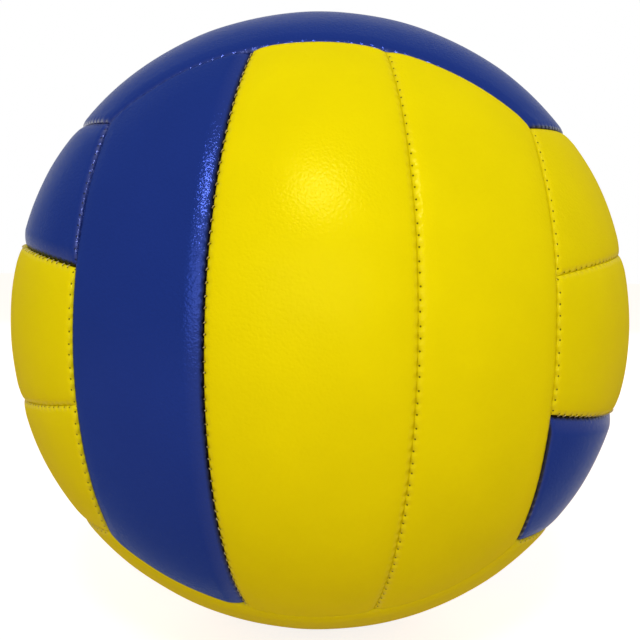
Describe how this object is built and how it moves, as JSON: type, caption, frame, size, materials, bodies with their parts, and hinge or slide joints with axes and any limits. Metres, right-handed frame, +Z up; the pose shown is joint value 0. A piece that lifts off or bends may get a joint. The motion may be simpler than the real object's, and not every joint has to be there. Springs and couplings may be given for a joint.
{
  "type": "volleyball",
  "caption": "Indoor volleyball: padded blue and yellow strips sewn into faces over an air bladder, with a self-sealing needle valve for inflation.",
  "frame": {"origin": "the ball's centre", "axes": "+Z up; -Y is the face seen in the picture, with upright strips; +Y points out of the valve"},
  "size_m": [0.21, 0.2099, 0.21],
  "materials": {
    "yellow_skin": "grained satin synthetic leather",
    "blue_skin": "grained satin synthetic leather",
    "foam": "fine closed-cell foam",
    "lining": "woven cotton and polyester cloth",
    "thread": "waxed twisted polyester thread",
    "bladder": "matt butyl rubber",
    "valve_rubber": "matt butyl rubber",
    "plug_rubber": "soft matt rubber"
  },
  "bodies": {
    "root": {"bladder": "bladder", "foam_back_centre": "foam", "foam_back_left": "foam", "foam_back_right": "foam", "foam_bottom_centre": "foam", "foam_bottom_front": "foam", "foam_bottom_rear": "foam", "foam_front_centre": "foam", "foam_front_left": "foam", "foam_front_right": "foam", "foam_left_centre": "foam", "foam_left_lower": "foam", "foam_left_upper": "foam", "foam_right_centre": "foam", "foam_right_lower": "foam", "foam_right_upper": "foam", "foam_top_centre": "foam", "foam_top_front": "foam", "foam_top_rear": "foam", "lining_back_centre": "lining", "lining_back_left": "lining", "lining_back_right": "lining", "lining_bottom_centre": "lining", "lining_bottom_front": "lining", "lining_bottom_rear": "lining", "lining_front_centre": "lining", "lining_front_left": "lining", "lining_front_right": "lining", "lining_left_centre": "lining", "lining_left_lower": "lining", "lining_left_upper": "lining", "lining_right_centre": "lining", "lining_right_lower": "lining", "lining_right_upper": "lining", "lining_top_centre": "lining", "lining_top_front": "lining", "lining_top_rear": "lining", "seam_thread": "thread", "skin_back_centre": "yellow_skin", "skin_back_left": "yellow_skin", "skin_back_right": "blue_skin", "skin_bottom_centre": "yellow_skin", "skin_bottom_front": "yellow_skin", "skin_bottom_rear": "blue_skin", "skin_front_centre": "yellow_skin", "skin_front_left": "blue_skin", "skin_front_right": "yellow_skin", "skin_left_centre": "yellow_skin", "skin_left_lower": "yellow_skin", "skin_left_upper": "blue_skin", "skin_right_centre": "yellow_skin", "skin_right_lower": "blue_skin", "skin_right_upper": "yellow_skin", "skin_top_centre": "yellow_skin", "skin_top_front": "blue_skin", "skin_top_rear": "yellow_skin", "valve_body": "valve_rubber", "valve_plug": "plug_rubber"}
  },
  "joints": []
}
